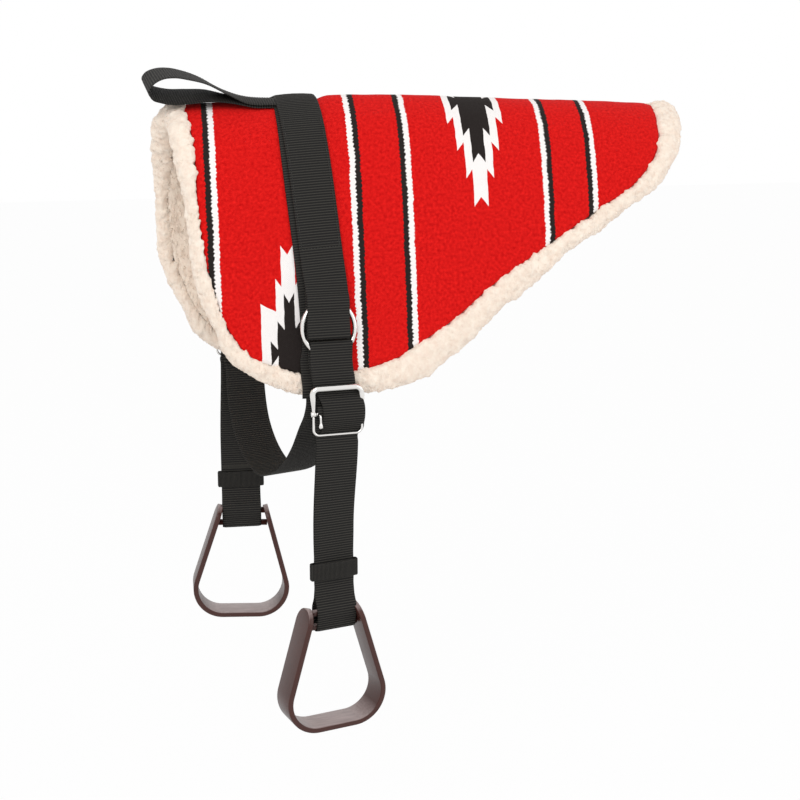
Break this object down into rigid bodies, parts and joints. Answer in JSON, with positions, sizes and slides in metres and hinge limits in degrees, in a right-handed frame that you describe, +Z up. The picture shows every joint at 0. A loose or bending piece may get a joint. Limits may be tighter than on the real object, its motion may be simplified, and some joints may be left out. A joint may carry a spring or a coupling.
{
  "type": "bareback pad",
  "caption": "Padded bareback riding pad with a woven cover, fleece underside, webbing surcingle and girth, grab handle and hanging stirrups.",
  "frame": {"origin": "underside of the lining, on the spine at the pad's mid length", "axes": "X along the horse's spine with the head towards -X; -Y is the near (left) side; +Z up"},
  "size_m": [0.6869, 0.3054, 0.7736],
  "materials": {
    "red_weave": "matte woven",
    "foam": "matte, out of sight",
    "cream_fleece": "matte pile",
    "black_webbing": "matte ribbed",
    "bright_metal": "bright nickel",
    "brown_plastic": "satin to glossy"
  },
  "bodies": {
    "pad": {"woven_cover": "red_weave", "foam_core": "foam", "fleece_lining": "cream_fleece", "fleece_edge_roll": "cream_fleece", "surcingle_under_ply": "black_webbing", "surcingle_top_ply": "black_webbing"},
    "handle": {"grab_handle": "black_webbing"},
    "girth": {"girth_strap": "black_webbing"},
    "left_chape": {"left_ring_chape": "black_webbing"},
    "left_ring_body": {"left_ring": "bright_metal"},
    "left_leather_body": {"left_leather": "black_webbing", "left_billet": "black_webbing", "left_buckle_frame": "bright_metal", "left_buckle_pin": "bright_metal", "left_buckle_heel": "bright_metal"},
    "left_tongue": {"left_buckle_tongue": "bright_metal"},
    "left_lower_strap": {"left_stirrup_strap": "black_webbing"},
    "left_keeper_body": {"left_keeper": "black_webbing"},
    "left_stirrup_body": {"left_stirrup": "brown_plastic", "left_lower_bar": "brown_plastic", "left_upper_bar": "brown_plastic"},
    "right_chape": {"right_ring_chape": "black_webbing"},
    "right_ring_body": {"right_ring": "bright_metal"},
    "right_leather_body": {"right_leather": "black_webbing", "right_billet": "black_webbing", "right_buckle_frame": "bright_metal", "right_buckle_pin": "bright_metal", "right_buckle_heel": "bright_metal"},
    "right_tongue": {"right_buckle_tongue": "bright_metal"},
    "right_lower_strap": {"right_stirrup_strap": "black_webbing"},
    "right_keeper_body": {"right_keeper": "black_webbing"},
    "right_stirrup_body": {"right_stirrup": "brown_plastic", "right_lower_bar": "brown_plastic", "right_upper_bar": "brown_plastic"}
  },
  "joints": [
    {"name": "handle_lift", "type": "hinge", "parent": "pad", "child": "handle", "pos_m": [-0.2094, 0, 0.02307], "axis": [0, 1, 0], "range_deg": [0, 60], "stiffness_Nm_per_rad": 0.05},
    {"name": "girth_swing", "type": "hinge", "parent": "pad", "child": "girth", "pos_m": [-0.1736, -0.1159, -0.312], "axis": [-0.1839, 0.9828, -0.018], "range_deg": [-8, 8]},
    {"name": "left_chape_swing", "type": "hinge", "parent": "pad", "child": "left_chape", "pos_m": [-0.17051, -0.10625, -0.18851], "axis": [-1, 0, 0], "range_deg": [0, 75]},
    {"name": "left_ring_spin", "type": "hinge", "parent": "left_chape", "child": "left_ring_body", "pos_m": [-0.17051, -0.11407, -0.23288], "axis": [0, -0.9925, 0.1219], "continuous": true},
    {"name": "left_leather_swing", "type": "hinge", "parent": "left_chape", "child": "left_leather_body", "pos_m": [-0.17051, -0.11407, -0.23288], "axis": [0, -0.9925, 0.1219], "range_deg": [-8, 8]},
    {"name": "left_tongue_swing", "type": "hinge", "parent": "left_leather_body", "child": "left_tongue", "pos_m": [-0.17051, -0.12927, -0.32928], "axis": [-1, 0, 0], "range_deg": [0, 40]},
    {"name": "left_strap_twist", "type": "hinge", "parent": "left_leather_body", "child": "left_lower_strap", "pos_m": [-0.17051, -0.12482, -0.58728], "axis": [0, 0, 1], "range_deg": [-45, 45]},
    {"name": "left_keeper_slide", "type": "slide", "parent": "left_lower_strap", "child": "left_keeper_body", "axis": [0, 0, 1], "range_m": [-0.013, 0.033]},
    {"name": "left_stirrup_tilt", "type": "hinge", "parent": "left_lower_strap", "child": "left_stirrup_body", "pos_m": [-0.17051, -0.12482, -0.58728], "axis": [0.9925, 0.1219, 0], "range_deg": [-10, 10]},
    {"name": "right_chape_swing", "type": "hinge", "parent": "pad", "child": "right_chape", "pos_m": [-0.22281, 0.10003, -0.16122], "axis": [1, 0, 0], "range_deg": [0, 75]},
    {"name": "right_ring_spin", "type": "hinge", "parent": "right_chape", "child": "right_ring_body", "pos_m": [-0.22281, 0.10963, -0.20538], "axis": [0, 0.9925, 0.1219], "continuous": true},
    {"name": "right_leather_swing", "type": "hinge", "parent": "right_chape", "child": "right_leather_body", "pos_m": [-0.22281, 0.10963, -0.20538], "axis": [0, 0.9925, 0.1219], "range_deg": [-8, 8]},
    {"name": "right_tongue_swing", "type": "hinge", "parent": "right_leather_body", "child": "right_tongue", "pos_m": [-0.22281, 0.12903, -0.27638], "axis": [1, 0, 0], "range_deg": [0, 40]},
    {"name": "right_strap_twist", "type": "hinge", "parent": "right_leather_body", "child": "right_lower_strap", "pos_m": [-0.22281, 0.12458, -0.52978], "axis": [0, 0, 1], "range_deg": [-45, 45]},
    {"name": "right_keeper_slide", "type": "slide", "parent": "right_lower_strap", "child": "right_keeper_body", "axis": [0, 0, 1], "range_m": [-0.009, 0.033]},
    {"name": "right_stirrup_tilt", "type": "hinge", "parent": "right_lower_strap", "child": "right_stirrup_body", "pos_m": [-0.22281, 0.12458, -0.52978], "axis": [0.9848, -0.1736, 0], "range_deg": [-10, 10]}
  ]
}
